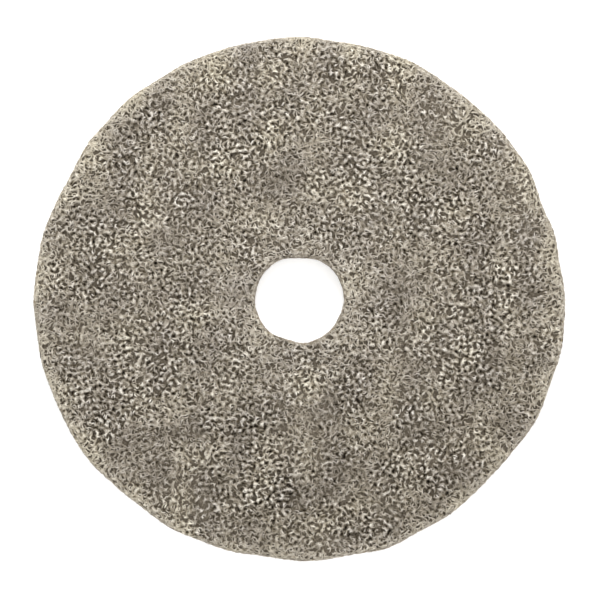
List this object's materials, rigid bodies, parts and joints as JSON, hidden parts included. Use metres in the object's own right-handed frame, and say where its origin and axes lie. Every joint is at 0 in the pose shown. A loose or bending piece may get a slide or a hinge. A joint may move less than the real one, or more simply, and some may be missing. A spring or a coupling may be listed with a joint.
{
  "type": "fibre polishing wheel",
  "caption": "Round flat polishing pad of lofty non-woven hair and polyester web, laminated in plies, with a plain centre hole.",
  "frame": {"origin": "centre of the pad on its lower face, on the axis of the centre hole", "axes": "+Z along the spin axis, out of the upper face; X and Y lie in the lower face, and the pad is round, so their direction is free"},
  "size_m": [0.5079, 0.508, 0.0254],
  "materials": {
    "hair_web": "matte",
    "polyester_core": "matte",
    "latex_bond": "satin",
    "needled_fibre": "matte"
  },
  "bodies": {
    "root": {"lower_face_web": "hair_web", "lower_bond_coat": "latex_bond", "core_web": "polyester_core", "upper_bond_coat": "latex_bond", "upper_face_web": "hair_web", "needled_tufts": "needled_fibre"}
  },
  "joints": []
}
